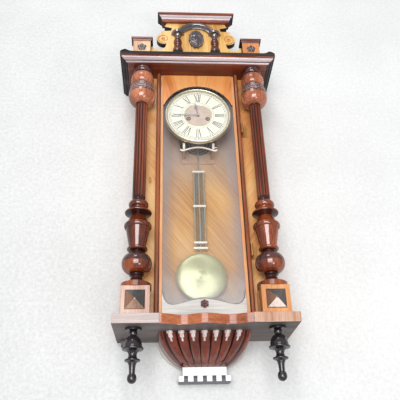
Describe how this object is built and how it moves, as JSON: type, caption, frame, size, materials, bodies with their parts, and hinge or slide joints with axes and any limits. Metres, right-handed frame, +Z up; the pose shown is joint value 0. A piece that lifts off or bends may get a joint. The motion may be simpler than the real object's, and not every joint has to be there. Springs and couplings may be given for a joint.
{
  "type": "vienna regulator clock",
  "caption": "Spring driven striking wall regulator in a glazed walnut case with turned columns, arched crest, hinged door, gridiron pendulum and working movement.",
  "frame": {"origin": "middle of the backboard's back face, level with the underside of the plinth", "axes": "+Z up, +Y into the wall, the dial looks along -Y, +X to the viewer's right"},
  "size_m": [0.46, 0.179, 1.144],
  "materials": {
    "walnut": "french polished",
    "dark_walnut": "french polished",
    "pale_wood": "polished",
    "ebonised": "ebonised",
    "brass": "lacquered",
    "steel": "brushed",
    "blued_steel": "blued",
    "iron": "plain",
    "dial": "satin",
    "glass": "clear"
  },
  "bodies": {
    "case": {"backboard": "pale_wood", "side_frame_left": "walnut", "side_frame_right": "walnut", "side_glass_left": "glass", "side_glass_right": "glass", "front_stile_left": "walnut", "front_stile_right": "walnut", "top_board": "dark_walnut", "cornice": "dark_walnut", "plinth": "dark_walnut", "column_block_left": "walnut", "column_block_right": "walnut", "column_base_left": "dark_walnut", "column_base_right": "dark_walnut", "column_shaft_left": "dark_walnut", "column_shaft_right": "dark_walnut", "finial_left": "ebonised", "finial_right": "ebonised", "bowl": "dark_walnut", "bracket_foot": "ebonised", "crest_board": "pale_wood", "crest_cornice": "dark_walnut", "crest_arcade": "dark_walnut", "crest_mask": "ebonised", "crest_block_left": "walnut", "crest_block_right": "walnut", "hanger_plate": "iron", "movement_bracket": "brass", "gong": "steel", "front_plate": "brass", "back_plate": "brass", "dial": "dial", "bezel": "brass", "case_hinge_leaf_lower": "brass", "case_hinge_leaf_upper": "brass"},
    "door": {"door_stile_left": "walnut", "door_stile_right": "walnut", "door_spandrel": "walnut", "door_bottom_rail": "walnut", "door_glass": "glass", "door_hinge_leaf_lower": "brass", "door_hinge_leaf_upper": "brass"},
    "hook": {"door_hook": "brass"},
    "pendulum": {"pendulum_rod": "brass"},
    "bob": {"pendulum_bob": "brass"},
    "rating": {"rating_nut": "brass"},
    "pallets": {"crutch": "steel"},
    "centre": {"centre_wheel": "brass", "minute_hand": "blued_steel"},
    "hour": {"hour_hand": "blued_steel"},
    "second": {"second_wheel": "brass"},
    "third": {"third_wheel": "brass"},
    "escape": {"escape_wheel": "brass"},
    "time_drum": {"time_barrel": "brass"},
    "time_winding": {"time_winding_arbor": "steel"},
    "strike_drum": {"strike_barrel": "brass"},
    "strike_winding": {"strike_winding_arbor": "steel"},
    "hammer": {"strike_hammer": "steel"},
    "steady_left": {"steady_screw_left": "brass"},
    "steady_right": {"steady_screw_right": "brass"}
  },
  "joints": [
    {"name": "door_swing", "type": "hinge", "parent": "case", "child": "door", "pos_m": [0.1246, -0.1164, 0.4], "axis": [0, 0, 1], "range_deg": [0, 95]},
    {"name": "hook_turn", "type": "hinge", "parent": "case", "child": "hook", "pos_m": [-0.137, -0.0965, 0.4237], "axis": [0, -1, 0], "range_deg": [0, 90]},
    {"name": "pendulum_swing", "type": "hinge", "parent": "case", "child": "pendulum", "pos_m": [0, -0.036, 0.7036], "axis": [0, 1, 0], "range_deg": [-3, 3]},
    {"name": "crutch_swing", "type": "hinge", "parent": "case", "child": "pallets", "pos_m": [0, -0.056, 0.7036], "axis": [0, 1, 0], "range_deg": [-3, 3]},
    {"name": "bob_slide", "type": "slide", "parent": "pendulum", "child": "bob", "axis": [0, 0, 1], "range_m": [-0.004, 0.004]},
    {"name": "rating_turn", "type": "hinge", "parent": "bob", "child": "rating", "pos_m": [0, -0.036, 0.0888], "axis": [0, 0, 1], "range_deg": [-1441, 1441]},
    {"name": "third_turn", "type": "hinge", "parent": "case", "child": "third", "pos_m": [0.01527, -0.06, 0.66786], "axis": [0, 1, 0], "continuous": true},
    {"name": "escape_turn", "type": "hinge", "parent": "case", "child": "escape", "pos_m": [0, -0.06, 0.684], "axis": [0, 1, 0], "continuous": true},
    {"name": "minute_turn", "type": "hinge", "parent": "case", "child": "centre", "pos_m": [0, -0.06, 0.646], "axis": [0, 1, 0], "continuous": true},
    {"name": "hour_turn", "type": "hinge", "parent": "case", "child": "hour", "pos_m": [0, -0.085, 0.646], "axis": [0, 1, 0], "continuous": true},
    {"name": "second_turn", "type": "hinge", "parent": "case", "child": "second", "pos_m": [0, -0.06, 0.619], "axis": [0, 1, 0], "continuous": true},
    {"name": "time_barrel_turn", "type": "hinge", "parent": "case", "child": "time_drum", "pos_m": [0.028, -0.06, 0.6335], "axis": [0, 1, 0], "continuous": true},
    {"name": "time_winding_turn", "type": "hinge", "parent": "case", "child": "time_winding", "pos_m": [0.028, -0.06, 0.6335], "axis": [0, 1, 0], "range_deg": [0, 2160]},
    {"name": "strike_barrel_turn", "type": "hinge", "parent": "case", "child": "strike_drum", "pos_m": [-0.028, -0.06, 0.6335], "axis": [0, 1, 0], "continuous": true},
    {"name": "strike_winding_turn", "type": "hinge", "parent": "case", "child": "strike_winding", "pos_m": [-0.028, -0.06, 0.6335], "axis": [0, 1, 0], "range_deg": [0, 2160]},
    {"name": "hammer_lift", "type": "hinge", "parent": "case", "child": "hammer", "pos_m": [0.044, -0.05, 0.608], "axis": [0, -1, 0], "range_deg": [0, 15]},
    {"name": "steady_left_slide", "type": "slide", "parent": "case", "child": "steady_left", "axis": [0, -1, 0], "range_m": [0, 0.006]},
    {"name": "steady_right_slide", "type": "slide", "parent": "case", "child": "steady_right", "axis": [0, -1, 0], "range_m": [0, 0.006]}
  ],
  "couplings": [
    {"joint": "crutch_swing", "follows": "pendulum_swing", "ratio": 1},
    {"joint": "rating_turn", "follows": "bob_slide", "rad_per_m": 6283.2},
    {"joint": "escape_turn", "follows": "third_turn", "ratio": -9},
    {"joint": "minute_turn", "follows": "third_turn", "ratio": -0.11111},
    {"joint": "hour_turn", "follows": "third_turn", "ratio": -0.0092593},
    {"joint": "second_turn", "follows": "third_turn", "ratio": 0.017094},
    {"joint": "time_barrel_turn", "follows": "third_turn", "ratio": -0.003616}
  ]
}
